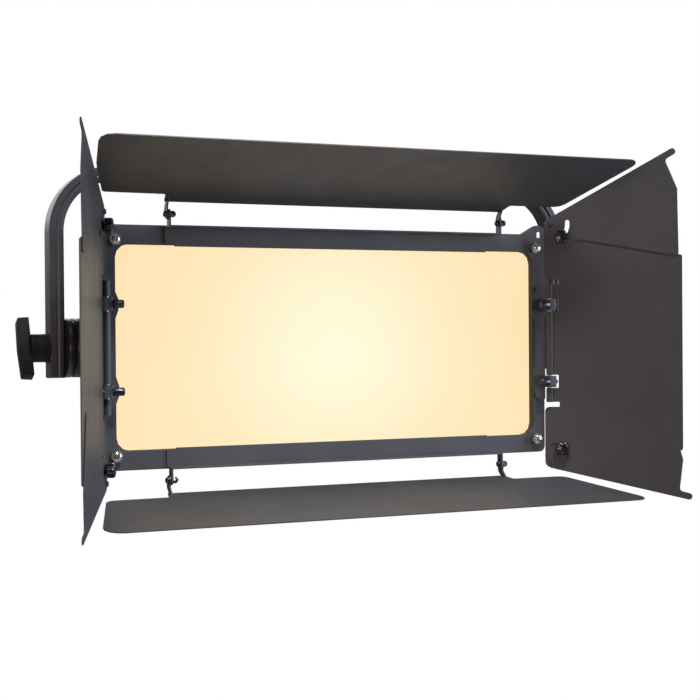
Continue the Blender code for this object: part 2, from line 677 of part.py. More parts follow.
# ---- top and bottom doors ----
def wide_hinge_bracket(sign, name):
    """The angle along the frame: a strip on its face and a shelf with an upright post at each end."""
    back = FRAME_FRONT - GAP
    shelf_out = FRAME_FRONT - HINGE_OUT - 0.0062

    def slab(half_width, first, second, low, high):
        """A box across the middle, between two depths and two heights from the tilt axis."""
        return box((-half_width, first, PIVOT_Z + min(sign * low, sign * high)),
                   (half_width, second, PIVOT_Z + max(sign * low, sign * high)))

    strip = slab(POST_X, back - 0.002, back, 0.1290, 0.1530)
    lip = slab(0.2250, back - 0.001, FRAME_FRONT + 0.0015, 0.1276, 0.1290)
    shelf = slab(POST_X, shelf_out, back, 0.1510, 0.1530)
    posts = []
    for side in (-1, 1):
        foot = HINGE_Z - 0.1515
        outline = filleted([(-0.0062, 0.0062, 0.0055), (-0.0062, -foot, 0.0), (0.0062, -foot, 0.0),
                            (0.0062, 0.0062, 0.0055)])
        place = basis_at((side * (POST_X - 0.002), FRAME_FRONT - HINGE_OUT, PIVOT_Z + sign * HINGE_Z),
                         (0, 1, 0), (0, 0, sign))
        depth = 0.002 * sign * side
        posts.append(sheet(outline, min(0.0, depth), max(0.0, depth), [circle(0.0027, sides=10)], place))
    return finish(joined(strip, lip, shelf, *posts), name, FRAME_BLACK)


def wide_axis(sign, angle, name):
    """The empty on the top or bottom hinge: X across, Y along the door, Z away from the light."""
    along = Vector((0, -cos(angle), sign * sin(angle)))
    hinge = Vector((0, FRAME_FRONT - HINGE_OUT, PIVOT_Z + sign * HINGE_Z))
    return axis_empty(name, basis_at(hinge, (-sign, 0, 0), along))


def wide_door(axis, half_width, name):
    """A top or bottom door: its sheet and the two hooks that hang on the hinge bolts."""
    near = [(POST_X + 0.0040, 0.0020, 0.002), (POST_X + 0.0080, 0.0230, 0.003)]
    right = near + [(WIDE_INNER, 0.0240, 0.014), (half_width, WIDE_REACH, 0.014)]
    if name == "top_door":      # hangs the other way up, so its own right is the lamp's left
        left = right
        right = near + [(WIDE_INNER + 0.0005, 0.0240, 0.006), (0.3500, 0.0960, 0.060),
                        (0.3640, WIDE_REACH, 0.016)]
    else:
        left = near + [(WIDE_INNER, 0.0240, 0.014), (half_width - 0.0035, WIDE_REACH, 0.020)]
    mirror = [(-x, y, radius) for x, y, radius in reversed(left)]
    plate = sheet(filleted(right + mirror), WIDE_OFFSET, WIDE_OFFSET + SHEET)
    hooks = []
    for side in (-1, 1):
        outline = filleted([(-0.006, -0.0062, 0.0055), (0.006, -0.0062, 0.0055), (0.0035, 0.0080, 0.004),
                            (0.0130, 0.0145, 0.002), (0.0130, 0.0170, 0.0), (0.0035, 0.0170, 0.0),
                            (0.0, 0.0158, 0.001), (-0.0085, 0.0100, 0.004)])
        place = basis_at((side * (POST_X + GAP), 0, 0), (0, 1, 0), (0, 0, 1))
        thick = sorted((0.0, side * 0.002))
        hooks.append(sheet(outline, *thick, [circle(0.0027, sides=10)], place))
    return finish(joined(plate, *hooks), name, DOOR_BLACK, axis)


def hinge_bolt(name, side, sign):
    """A pivot bolt of the top or bottom door: head, shank and locking nut."""
    centre = Vector((side * POST_X, FRAME_FRONT - HINGE_OUT, PIVOT_Z + sign * HINGE_Z))
    left = -0.0023 - 2 * GAP
    right = 0.0023 + 2 * GAP
    shank = rod(centre + Vector((left - 0.002, 0, 0)), centre + Vector((right + 0.007, 0, 0)), 0.0020, 8)
    head = rod(centre + Vector((left - 0.0038, 0, 0)), centre + Vector((left, 0, 0)), 0.0042, 12)
    nut = rod(centre + Vector((right, 0, 0)), centre + Vector((right + 0.0050, 0, 0)), 0.0043, 6)
    return finish(joined(shank, head, nut), name, STEEL)


# ---- side doors ----
def side_hinge_bracket(side, name):
    """The strip on the frame's side bar with two clips that pinch the hinge rod."""
    back = FRAME_FRONT - GAP
    inner = 0.3035
    bump = 0.2985
    corners = [(FRAME_HALF[0], -0.080, 0.002), (FRAME_HALF[0], 0.080, 0.002), (inner + 0.003, 0.080, 0.004)]
    for sign in (1, -1):
        span = [(inner, sign * 0.072), (bump, sign * 0.060), (bump, sign * 0.048), (inner, sign * 0.034)]
        if sign < 0:
            span.reverse()
        corners += [(x, z, 0.004) for x, z in span]
    corners.append((inner + 0.003, -0.080, 0.004))
    outline = filleted(corners)
    if side > 0:
        outline = mirrored_x(outline)
    strip = sheet(outline, back - 0.002, back, (), on_front())
    front = FRAME_FRONT - 0.0270
    hinge_y = FRAME_FRONT - HINGE_OUT
    extra = []
    tools = []
    for z in (PIVOT_Z - CLIP_Z, PIVOT_Z + CLIP_Z):
        middle = side * HINGE_X
        half = 0.0065
        profile = filleted([(-half, back - 0.001, 0.0), (-half, front, 0.003), (half, front, 0.003),
                            (half, back - 0.001, 0.0)])
        place = basis_at((middle, 0, z), (1, 0, 0), (0, 1, 0))
        extra.append(sheet(profile, -CLIP_HALF, CLIP_HALF, (), place))
        bolt_y = front + 0.0032
        inside = -side
        bolt = rod((middle - inside * 0.0078, bolt_y, z), (middle + inside * 0.0075, bolt_y, z), 0.0030, 10)
        nut = rod((middle + inside * 0.0060, bolt_y, z), (middle + inside * 0.0165, bolt_y, z), 0.0050, 12)
        dome = rod((middle + inside * 0.0160, bolt_y, z), (middle + inside * 0.0192, bolt_y, z), 0.0049, 12,
                   0.0030)
        extra += [bolt, nut, dome]
        tools.append(rod((middle, hinge_y, z - 0.02), (middle, hinge_y, z + 0.02), ROD_RADIUS + RUNNING, 12))
        tools.append(box((middle - 0.0004, bolt_y + 0.0034, z - 0.02), (middle + 0.0004, hinge_y, z + 0.02)))
    return finish(cut(joined(strip, *extra), *tools), name, FRAME_BLACK)


def hinge_rod(axis, name):
    """The rod pressed into a side door's knuckles, which turns in the hinge clips."""
    return finish(rod((0, -ROD_HALF, 0), (0, ROD_HALF, 0), ROD_RADIUS), name, STEEL, axis)


def side_axis(side, angle, name):
    """The empty on a side hinge: X along the door, Y up, Z towards the left."""
    hinge = Vector((side * HINGE_X, FRAME_FRONT - HINGE_OUT, PIVOT_Z))
    return axis_empty(name, basis_at(hinge, (side * sin(angle), -cos(angle), 0), (0, 0, 1)))


def outward(side, first, last):
    """Heights along the axis empty's Z for two distances outward from the hinge line."""
    return sorted((-side * first, -side * last))


def side_door(side, axis, name):
    """A side door: sheet, rolled knuckles on the hinge rod and a rivet for each leaf."""
    edge = -0.0065
    notch = 0.0128
    inner, outer = CLIP_Z - CLIP_HALF - 0.0012, CLIP_Z + CLIP_HALF + 0.0012
    up = [(0.0, 0.0, 0), (0.0, inner, 0), (notch, inner, 0.001), (notch, outer, 0.001), (0.0, outer, 0),
          (0.0, ROD_HALF, 0), (0.014, ROD_HALF, 0.001), (0.014, 0.090, 0.001), (edge, 0.090, 0.006),
          (edge, 0.1765, 0.008), (0.0125, 0.1765, 0.008), (0.018, 0.157, 0.004), (SIDE_REACH, 0.1225, 0.003)]
    down = [(0.0, -inner, 0), (notch, -inner, 0.001), (notch, -outer, 0.001), (0.0, -outer, 0),
            (0.0, -ROD_HALF, 0), (0.014, -ROD_HALF, 0.001), (0.014, -0.090, 0.001), (edge, -0.090, 0.006),
            (edge, -0.1765, 0.008), (0.040, -0.1720, 0.004), (SIDE_REACH, -0.1515, 0.004)]
    stud = (RIVET_S + STUD_OUT * cos(STUD_TURN), RIVET_Z + STUD_OUT * sin(STUD_TURN))
    holes = [circle(0.0026, (stud[0], sign * stud[1]), 10) for sign in (-1, 1)]
    outline = filleted(up[1:] + list(reversed(down)))
    plate = sheet(outline, *outward(side, SIDE_OFFSET, SIDE_OFFSET + SHEET), holes)
    extra = []
    bore = ROD_RADIUS + GAP
    for low, high in ((-inner, inner), (outer, ROD_HALF), (-ROD_HALF, -outer)):
        place = basis_at((0, 0, 0), (0, 0, 1), (1, 0, 0))
        ring = [(KNUCKLE_RADIUS, high), (KNUCKLE_RADIUS, low), (bore, low), (bore, high)]
        extra.append(turned(ring, place, 10))
    for sign in (-1, 1):
        spot = Vector((RIVET_S, sign * RIVET_Z, 0))
        pin = Vector((0, 0, -side))
        under = spot + pin * (SIDE_OFFSET - SHEET - 2 * GAP)
        extra.append(rod(spot + pin * (SIDE_OFFSET + SHEET * 0.7), spot - pin * 0.0008, LEAF_STUD, 8))
        extra.append(rod(under, spot - pin * 0.0012, 0.0042, 10, 0.0030))
    return finish(joined(plate, *extra), name, DOOR_BLACK, axis)


def leaf(side, sign, fold, axis, name):
    """A swivelling corner leaf: tapered sheet with a finger tab, on its rivet and arc slot."""
    place = Matrix.Translation((RIVET_S, sign * RIVET_Z, 0)) @ Matrix.Rotation(-sign * fold, 4, "Z")
    pivot = axis_empty(name + "_axis", place, axis)
    corners = [(-0.0085, 0.0055, 0.008), (-0.0070, -0.0120, 0.006), (0.0040, -0.0305, 0.009),
               (0.0270, -0.0315, 0.010), (0.0360, -0.0205, 0.010), (0.1770, -0.0465, 0.004),
               (0.1755, 0.0475, 0.006), (0.1585, 0.0880, 0.005), (0.1745, 0.0975, 0.0040),
               (0.1705, 0.1056, 0.0040)]
    outline = filleted([(x, sign * y, r) for x, y, r in corners])
    slot = arc_slot(STUD_OUT, 0.0030, sign * SLOT_TURN[0], sign * SLOT_TURN[1])
    low, high = outward(side, SIDE_OFFSET - GAP - SHEET, SIDE_OFFSET - GAP)
    flat = sheet(outline, low, high, [circle(0.0027, sides=10), slot])
    return finish(flat, name, DOOR_BLACK, pivot)


def leaf_knob(side, sign, axis, name):
    """The lobed knob whose screw passes through the leaf's slot into the door."""
    spot = (RIVET_S + STUD_OUT * cos(STUD_TURN), sign * (RIVET_Z + STUD_OUT * sin(STUD_TURN)), 0)
    pivot = axis_empty(name + "_axis", Matrix.Translation(spot), axis)
    face = SIDE_OFFSET - SHEET - 2 * GAP
    outline = []
    for index in range(24):
        angle = 2 * pi * index / 24
        reach = KNOB_REACH + KNOB_LOBE * cos(6 * angle)
        outline.append(Vector((reach * cos(angle), reach * sin(angle))))
    grip = sheet(outline, *outward(side, face - 0.0030, face - KNOB_TOP))
    collar = rod((0, 0, -side * face), (0, 0, -side * (face - 0.0034)), 0.0055, 12, 0.0065)
    stud = rod((0, 0, -side * (face - 0.001)), (0, 0, -side * (SIDE_OFFSET + SHEET + 0.0020)), LEAF_STUD, 8)
    return finish(joined(grip, collar, stud), name, KNOB_BLACK, pivot)


# ---- the whole light ----
def hung(pieces):
    """Hang pieces that are placed in the light's own frame from an empty on the tilt axis."""
    pivot = axis_empty("tilt_axis", Matrix.Translation((0, 0, PIVOT_Z)))
    for piece in pieces:
        piece.parent = pivot
        piece.matrix_parent_inverse = Matrix.Translation((0, 0, -PIVOT_Z))


def build():
    """Make every piece."""
    yoke()
    head = [housing(), front_bezel(), diffuser(), light_chamber(), led_board(), heat_sink(),
            rear_cover(), power_supply(), driver_board(), fan_frame(), fan_rotor(),
            control_panel(), control_board(), display(), dial(), barn_frame()]
    head += [button(name, x, z) for name, (x, z) in BUTTON_PLACES.items()]
    head += [connector(name, x) for name, x in CONNECTORS.items()]
    for word, side, angle in (("left", -1, LEFT_ANGLE), ("right", 1, RIGHT_ANGLE)):
        tilt_disc(side, "tilt_disc_" + word)
        tilt_handle(side, "tilt_handle_" + word)
        axis = side_axis(side, angle, word + "_door_axis")
        head += [tilt_hub(side, "tilt_hub_" + word), side_hinge_bracket(side, "hinge_bracket_" + word), axis]
        side_door(side, axis, word + "_door")
        hinge_rod(axis, "hinge_rod_" + word)
        for level, sign in (("upper", 1), ("lower", -1)):
            place = word + "_" + level
            leaf(side, sign, LEAF_FOLD[place], axis, "leaf_" + place)
            leaf_knob(side, sign, axis, "leaf_knob_" + place)
    for word, sign, angle, half_width in (("top", 1, TOP_ANGLE, TOP_HALF),
                                          ("bottom", -1, BOTTOM_ANGLE, BOTTOM_HALF)):
        axis = wide_axis(sign, angle, word + "_door_axis")
        head += [wide_hinge_bracket(sign, "hinge_bracket_" + word), axis]
        wide_door(axis, half_width, word + "_door")
        for other, side in (("left", -1), ("right", 1)):
            place = word + "_" + other
            head.append(hinge_bolt("hinge_bolt_" + place, side, sign))
            head.append(thumbscrew("thumbscrew_" + place, side * SCREW_X, sign * SCREW_Z))
    hung(head)


build()
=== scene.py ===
"""Soft LED panel light with barn doors: the visual model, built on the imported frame."""

import json
from math import acos, atan2, ceil, cos, pi, radians, sin, tan

import bmesh
import bpy
from mathutils import Matrix, Vector


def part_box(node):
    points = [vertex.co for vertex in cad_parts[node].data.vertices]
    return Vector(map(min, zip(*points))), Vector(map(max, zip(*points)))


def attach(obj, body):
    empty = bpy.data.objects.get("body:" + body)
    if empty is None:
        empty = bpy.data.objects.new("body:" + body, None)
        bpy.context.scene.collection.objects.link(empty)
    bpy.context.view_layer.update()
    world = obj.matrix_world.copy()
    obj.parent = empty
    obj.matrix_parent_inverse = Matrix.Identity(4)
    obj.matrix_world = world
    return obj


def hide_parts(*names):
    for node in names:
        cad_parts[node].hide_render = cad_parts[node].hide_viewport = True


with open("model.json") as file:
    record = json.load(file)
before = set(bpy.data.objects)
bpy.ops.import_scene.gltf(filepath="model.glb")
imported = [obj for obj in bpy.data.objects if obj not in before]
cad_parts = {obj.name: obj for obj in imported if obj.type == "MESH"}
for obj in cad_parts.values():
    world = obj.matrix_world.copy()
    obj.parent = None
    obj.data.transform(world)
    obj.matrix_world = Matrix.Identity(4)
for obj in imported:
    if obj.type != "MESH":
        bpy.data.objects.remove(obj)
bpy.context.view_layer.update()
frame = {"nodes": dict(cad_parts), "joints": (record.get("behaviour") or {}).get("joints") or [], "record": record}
NODES = frame["nodes"]
BODY_OF = {node: body for body, nodes in frame["record"]["behaviour"]["bodies"].items() for node in nodes}
SLOT_OF = {node: obj.data.materials[0].name for node, obj in NODES.items()}


# ---- procedural materials ----
def linear(red, green, blue):
    """A linear colour from 0-255 screen values."""
    return tuple((c / 255 / 12.92) if c <= 10 else ((c / 255 + 0.055) / 1.055) ** 2.4
                 for c in (red, green, blue)) + (1.0,)


class Look:
    """A Principled material with a few node shortcuts."""

    def __init__(self, name):
        self.made = bpy.data.materials.new(name)
        self.made.use_nodes = True
        self.nodes = self.made.node_tree.nodes
        self.links = self.made.node_tree.links
        self.shader = self.nodes["Principled BSDF"]
        self.place = self.nodes.new("ShaderNodeTexCoord").outputs["Object"]

    def set(self, **values):
        """Constant values on the shader's own sockets."""
        for key, value in values.items():
            self.shader.inputs[key.replace("_", " ").title().replace("Ior", "IOR")].default_value = value
        return self

    def stretched(self, scale):
        """The place, scaled along each axis."""
        node = self.nodes.new("ShaderNodeVectorMath")
        node.operation = "MULTIPLY"
        node.inputs[1].default_value = scale
        self.links.new(self.place, node.inputs[0])
        return node.outputs[0]

    def noise(self, scale, detail=3.0, roughness=0.55, stretch=None):
        """A noise texture's value."""
        node = self.nodes.new("ShaderNodeTexNoise")
        node.inputs["Scale"].default_value = scale
        node.inputs["Detail"].default_value = detail
        node.inputs["Roughness"].default_value = roughness
        self.links.new(self.place if stretch is None else self.stretched(stretch), node.inputs["Vector"])
        return node.outputs["Fac"]

    def cells(self, scale, feature="F1"):
        """A cell texture's distance."""
        node = self.nodes.new("ShaderNodeTexVoronoi")
        node.feature = feature
        node.inputs["Scale"].default_value = scale
        self.links.new(self.place, node.inputs["Vector"])
        return node.outputs["Distance"]

    def ramp(self, value, stops):
        """A colour ramp over a value."""
        node = self.nodes.new("ShaderNodeValToRGB")
        keys = node.color_ramp.elements
        while len(keys) < len(stops):
            keys.new(0.5)
        for key, (at, color) in zip(keys, sorted(stops)):
            key.position = at
            key.color = color
        self.links.new(value, node.inputs["Fac"])
        return node.outputs["Color"]

    def spread(self, value, low, high, first=0.3, last=0.7):
        """A value mapped onto a range."""
        node = self.nodes.new("ShaderNodeMapRange")
        node.inputs["From Min"].default_value = first
        node.inputs["From Max"].default_value = last
        node.inputs["To Min"].default_value = low
        node.inputs["To Max"].default_value = high
        self.links.new(value, node.inputs["Value"])
        return node.outputs["Result"]

    def join(self, value, socket):
        """Link a value to one of the shader's sockets."""
        self.links.new(value, self.shader.inputs[socket])
        return self

    def bump(self, *layers):
        """Stacked bumps from (value, strength, distance)."""
        before = None
        for value, strength, distance in layers:
            node = self.nodes.new("ShaderNodeBump")
            node.inputs["Strength"].default_value = strength
            node.inputs["Distance"].default_value = distance
            self.links.new(value, node.inputs["Height"])
            if before is not None:
                self.links.new(before, node.inputs["Normal"])
            before = node.outputs["Normal"]
        self.links.new(before, self.shader.inputs["Normal"])
        return self


def powder_coat(name, dark, light, roughness, peel=0.35, specular=0.4):
    """Baked powder paint: orange peel, a fine sandy grain, faint mottling and a little dust."""
    look = Look(name).set(specular_ior_level=specular)
    mottle = look.noise(9.0, 5.0, 0.6)
    look.join(look.ramp(mottle, [(0.30, dark), (0.72, light)]), "Base Color")
    smear = look.noise(26.0, 4.0, 0.65, stretch=(1.0, 1.0, 0.35))
    look.join(look.spread(smear, roughness - 0.06, roughness + 0.08), "Roughness")
    return look.bump((look.noise(420.0, 2.0, 0.5), peel, 0.00022),
                     (look.cells(1500.0), peel, 0.00007)).made


def moulded(name, dark, light, roughness, texture=0.25, coat=0.0, specular=0.5):
    """Moulded plastic: fine spark-eroded texture and slight handling marks."""
    look = Look(name).set(coat_weight=coat, coat_roughness=0.12, specular_ior_level=specular)
    look.join(look.ramp(look.noise(60.0, 4.0), [(0.3, dark), (0.7, light)]), "Base Color")
    look.join(look.spread(look.noise(90.0, 5.0, 0.7), roughness - 0.05, roughness + 0.07), "Roughness")
    return look.bump((look.noise(1900.0, 2.0), texture, 0.00003),).made


def metal(name, dark, light, roughness, brushed=(1.0, 1.0, 1.0), depth=0.00003):
    """Bare or plated metal with fine directional scratches."""
    look = Look(name).set(metallic=1.0)
    look.join(look.ramp(look.noise(70.0, 4.0), [(0.3, dark), (0.7, light)]), "Base Color")
    grain = look.noise(900.0, 3.0, 0.6, stretch=brushed)
    look.join(look.spread(grain, roughness - 0.06, roughness + 0.08), "Roughness")
    return look.bump((grain, 0.25, depth),).made


def glowing():
    """The lit opal sheet: brightest in the middle, warmer towards the edges."""
    look = Look("opal_glow").set(roughness=0.55, specular_ior_level=0.2, emission_strength=1.0)
    middle = look.nodes.new("ShaderNodeMapping")
    middle.inputs["Location"].default_value = (0.0, 0.0, -PIVOT.z / 0.40)
    middle.inputs["Scale"].default_value = (1 / 0.44, 0.0, 1 / 0.40)
    look.links.new(look.place, middle.inputs["Vector"])
    reach = look.nodes.new("ShaderNodeVectorMath")
    reach.operation = "LENGTH"
    look.links.new(middle.outputs["Vector"], reach.inputs[0])
    waver = look.nodes.new("ShaderNodeMath")
    waver.operation = "MULTIPLY_ADD"
    waver.inputs[1].default_value = 0.010
    look.links.new(look.noise(7.0, 1.0), waver.inputs[0])
    look.links.new(reach.outputs["Value"], waver.inputs[2])
    stops = [(0.00, (250, 247, 214)), (0.09, (250, 246, 212)), (0.20, (250, 242, 205)),
             (0.30, (251, 237, 198)), (0.43, (252, 231, 188)), (0.58, (253, 227, 181)),
             (0.78, (253, 226, 178))]
    color = look.ramp(waver.outputs["Value"], [(at, linear(*value)) for at, value in stops])
    look.join(color, "Emission Color")
    look.join(look.ramp(look.noise(40.0), [(0.3, (0.030, 0.027, 0.020, 1.0)),
                                           (0.7, (0.036, 0.032, 0.024, 1.0))]), "Base Color")
    return look.bump((look.noise(1200.0, 2.0), 0.15, 0.00005),).made


def screen_look(low, high):
    """A dark display with generic lit bars and blocks."""
    look = Look("screen_glass").set(coat_weight=1.0, coat_roughness=0.04)
    size = high - low
    spot = look.nodes.new("ShaderNodeMapping")
    spot.inputs["Location"].default_value = (-low.x / size.x, 0.0, -low.z / size.z)
    spot.inputs["Scale"].default_value = (1 / size.x, 0.0, 1 / size.z)
    look.links.new(look.place, spot.inputs["Vector"])
    parts = look.nodes.new("ShaderNodeSeparateXYZ")
    look.links.new(spot.outputs["Vector"], parts.inputs[0])

    def math(operation, first, second):
        node = look.nodes.new("ShaderNodeMath")
        node.operation = operation
        for socket, value in zip(node.inputs, (first, second)):
            if isinstance(value, (int, float)):
                socket.default_value = value
            else:
                look.links.new(value, socket)
        return node.outputs[0]

    def block(left, right, bottom, top):
        inside = math("MULTIPLY", math("GREATER_THAN", parts.outputs["X"], left),
                      math("LESS_THAN", parts.outputs["X"], right))
        upright = math("MULTIPLY", math("GREATER_THAN", parts.outputs["Z"], bottom),
                       math("LESS_THAN", parts.outputs["Z"], top))
        return math("MULTIPLY", inside, upright)

    bars = [block(0.10, 0.90, 0.80, 0.86), block(0.12, 0.55, 0.58, 0.66), block(0.12, 0.40, 0.40, 0.48),
            block(0.12, 0.62, 0.20, 0.28), block(0.72, 0.88, 0.20, 0.66)]
    lit = bars[0]
    for bar in bars[1:]:
        lit = math("MAXIMUM", lit, bar)
    look.join(look.ramp(lit, [(0.0, (0.010, 0.020, 0.030, 1)), (1.0, (0.35, 0.75, 0.85, 1))]), "Base Color")
    look.join(look.ramp(lit, [(0.0, (0.0, 0.004, 0.008, 1)), (1.0, (0.20, 0.55, 0.65, 1))]), "Emission Color")
    look.set(emission_strength=0.8)
    look.join(look.spread(look.noise(200.0), 0.12, 0.2), "Roughness")
    return look.bump((look.noise(600.0), 0.05, 0.00002),).made


def circuit_look(name, board, copper, scale):
    """A coated circuit board: tracks as rectangular cells under the lacquer."""
    look = Look(name).set(coat_weight=0.4, coat_roughness=0.2)
    look.join(look.ramp(look.cells(scale), [(0.0, copper), (0.18, board), (0.9, board)]), "Base Color")
    look.join(look.spread(look.noise(300.0), 0.30, 0.45), "Roughness")
    return look.bump((look.cells(scale), 0.3, 0.0001),).made


PIVOT = Vector((0.0, 0.0, -0.232))
DOOR = powder_coat("door_powder_coat", (0.037, 0.035, 0.037, 1), (0.047, 0.045, 0.048, 1), 0.46, 0.25, 0.45)
FRAME = powder_coat("frame_powder_coat", (0.047, 0.047, 0.049, 1), (0.059, 0.059, 0.062, 1), 0.48)
CASE = powder_coat("case_powder_coat", (0.030, 0.030, 0.032, 1), (0.040, 0.040, 0.043, 1), 0.50)
BAR = powder_coat("yoke_grey_paint", (0.042, 0.045, 0.049, 1), (0.054, 0.058, 0.063, 1), 0.44, 0.12, 0.32)
GRIP = moulded("grip_nylon", (0.008, 0.008, 0.009, 1), (0.013, 0.013, 0.014, 1), 0.62, 0.06, 0.0, 0.16)
DISC = moulded("disc_satin", (0.007, 0.007, 0.007, 1), (0.011, 0.011, 0.011, 1), 0.36, 0.02, 0.10, 0.45)
GLOSS = moulded("knob_gloss", (0.004, 0.004, 0.005, 1), (0.008, 0.008, 0.009, 1), 0.22, 0.02, 0.30)
MATTE = moulded("connector_plastic", (0.012, 0.012, 0.013, 1), (0.020, 0.020, 0.022, 1), 0.38, 0.3)
NICKEL = metal("nickel_plate", (0.62, 0.58, 0.52, 1), (0.80, 0.76, 0.70, 1), 0.20)
STEEL = metal("zinc_steel", (0.24, 0.24, 0.26, 1), (0.36, 0.36, 0.39, 1), 0.34)
DARK_STEEL = metal("blackened_steel", (0.055, 0.055, 0.060, 1), (0.10, 0.10, 0.11, 1), 0.30)
ALUMINIUM = metal("mill_aluminium", (0.50, 0.50, 0.52, 1), (0.64, 0.64, 0.66, 1), 0.34, (0.06, 1.0, 1.0))
WHITE = moulded("reflector_white", (0.78, 0.78, 0.76, 1), (0.86, 0.86, 0.84, 1), 0.5, 0.2)
LED_BOARD = circuit_look("led_board_white", (0.80, 0.80, 0.78, 1), (0.90, 0.80, 0.35, 1), 45.0)
GREEN = circuit_look("board_green", (0.010, 0.085, 0.035, 1), (0.05, 0.20, 0.08, 1), 240.0)
OPAL = glowing()


# ---- mesh helpers ----
def filleted(corners, step=12):
    """A closed outline from (x, y, radius) corners, with each corner rounded."""
    points = []
    count = len(corners)
    for index, (x, y, radius) in enumerate(corners):
        corner = Vector((x, y))
        if radius <= 0:
            points.append(corner)
            continue
        before = (Vector(corners[index - 1][:2]) - corner).normalized()
        after = (Vector(corners[(index + 1) % count][:2]) - corner).normalized()
        opening = acos(max(-1.0, min(1.0, before.dot(after))))
        tangent = radius / tan(opening / 2)
        centre = corner + (before + after).normalized() * radius / sin(opening / 2)
        start = corner + before * tangent - centre
        end = corner + after * tangent - centre
        turn = atan2(start.x * end.y - start.y * end.x, start.dot(end))
        steps = max(2, ceil(abs(turn) / radians(step)))
        for stage in range(steps + 1):
            angle = atan2(start.y, start.x) + turn * stage / steps
            points.append(centre + radius * Vector((cos(angle), sin(angle))))
    return points


def placed(origin, x_axis, y_axis):
    """A placing matrix from an origin and two directions."""
    x_axis = Vector(x_axis).normalized()
    y_axis = Vector(y_axis).normalized()
    columns = (x_axis, y_axis, x_axis.cross(y_axis))
    turn = Matrix([[column[row] for column in columns] for row in range(3)]).to_4x4()
    return Matrix.Translation(origin) @ turn


def toward(origin, direction):
    """A placing matrix whose Z runs along a direction."""
    turn = Vector(direction).to_track_quat("Z", "Y").to_matrix().to_4x4()
    return Matrix.Translation(origin) @ turn


def piece(name, shape, look, body, slot, *nodes, smooth=35.0):
    """Turn a bmesh into a piece that rides on a body and may stand for CAD nodes."""
    bmesh.ops.recalc_face_normals(shape, faces=shape.faces)
    mesh = bpy.data.meshes.new(name)
    shape.to_mesh(mesh)
    shape.free()
    mesh.materials.append(look)
    mesh.shade_smooth()
    mesh.set_sharp_from_angle(angle=radians(smooth))
    made = bpy.data.objects.new(name, mesh)
    bpy.context.scene.collection.objects.link(made)
    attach(made, body)
    if nodes:
        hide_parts(*nodes)
    return made


def applied(obj):
    """Apply an object's modifiers to its mesh."""
    depsgraph = bpy.context.evaluated_depsgraph_get()
    solid = bpy.data.meshes.new_from_object(obj.evaluated_get(depsgraph))
    old = obj.data
    obj.modifiers.clear()
    obj.data = solid
    bpy.data.meshes.remove(old)
    return obj


def refined(node, look, width=0.0004, segments=2, angle=28.0):
    """The CAD shape with real rounded edges."""
    shape = bmesh.new()
    shape.from_mesh(NODES[node].data)
    bmesh.ops.remove_doubles(shape, verts=shape.verts, dist=0.00002)
    bmesh.ops.dissolve_limit(shape, angle_limit=radians(0.6), verts=shape.verts, edges=shape.edges,
                             delimit=set())
    made = piece(node + "_detail", shape, look, BODY_OF[node], SLOT_OF[node], node, smooth=180.0)
    return rounded(made, width, segments, angle)


def rounded(made, width, segments=2, angle=28.0):
    """Round a piece's edges, and keep its flat faces flat."""
    step = made.modifiers.new("edges", "BEVEL")
    step.width = width
    step.segments = segments
    step.limit_method = "ANGLE"
    step.angle_limit = radians(angle)
    step.use_clamp_overlap = True
    step.miter_outer = "MITER_ARC"
    even = made.modifiers.new("even", "WEIGHTED_NORMAL")
    even.weight = 90
    even.keep_sharp = True
    return applied(made)


def lathe(shape, profile, basis, steps=48, closed=False, reach=None):
    """Add a turned shape from (radius, height) points; reach may change the radius with the angle."""
    rings = []
    for radius, height in profile:
        if radius < 1e-6:
            rings.append([shape.verts.new(basis @ Vector((0, 0, height)))])
            continue
        ring = []
        for step in range(steps):
            angle = 2 * pi * step / steps
            out = radius if reach is None else reach(angle, radius, height)
            ring.append(shape.verts.new(basis @ Vector((out * cos(angle), out * sin(angle), height))))
        rings.append(ring)
    pairs = list(zip(rings, rings[1:])) + ([(rings[-1], rings[0])] if closed else [])
    for first, second in pairs:
        for step in range(max(len(first), len(second))):
            after = (step + 1) % steps
            corners = [first[step % len(first)], second[step % len(second)]]
            if len(second) > 1:
                corners.append(second[after])
            if len(first) > 1:
                corners.append(first[after])
            shape.faces.new(corners)
    return shape


def prism(shape, outline, low, high, basis, edge=0.0005):
    """Add an outline with thickness, its rims bevelled."""
    centre = sum((Vector(point) for point in outline), Vector((0, 0))) / len(outline)
    loops = []
    for height, inset in ((low, edge), (low + edge * 0.3, edge * 0.3), (low + edge, 0.0),
                          (high - edge, 0.0), (high - edge * 0.3, edge * 0.3), (high, edge)):
        loop = []
        for index, point in enumerate(outline):
            before = Vector(outline[index - 1])
            after = Vector(outline[(index + 1) % len(outline)])
            along = (after - before).normalized()
            inward = Vector((-along.y, along.x))
            if inward.dot(centre - Vector(point)) < 0:
                inward = -inward
            spot = Vector(point) + inward * inset
            loop.append(shape.verts.new(basis @ Vector((spot.x, spot.y, height))))
        loops.append(loop)
    for first, second in zip(loops, loops[1:]):
        for index in range(len(first)):
            shape.faces.new((first[index - 1], first[index], second[index], second[index - 1]))
    shape.faces.new(loops[0])
    shape.faces.new(loops[-1])
    return shape


def round_box(shape, low, high, edge, basis=None):
    """Add a box with rounded edges."""
    part = bmesh.new()
    bmesh.ops.create_cube(part, size=1.0)
    low = Vector(low)
    high = Vector(high)
    for vertex in part.verts:
        vertex.co = (low + high) / 2 + Vector([c * s for c, s in zip(vertex.co, high - low)])
    bmesh.ops.bevel(part, geom=part.edges[:], offset=edge, segments=3, profile=0.5, affect="EDGES")
    if basis is not None:
        bmesh.ops.transform(part, matrix=basis, verts=part.verts)
    merge(shape, part)


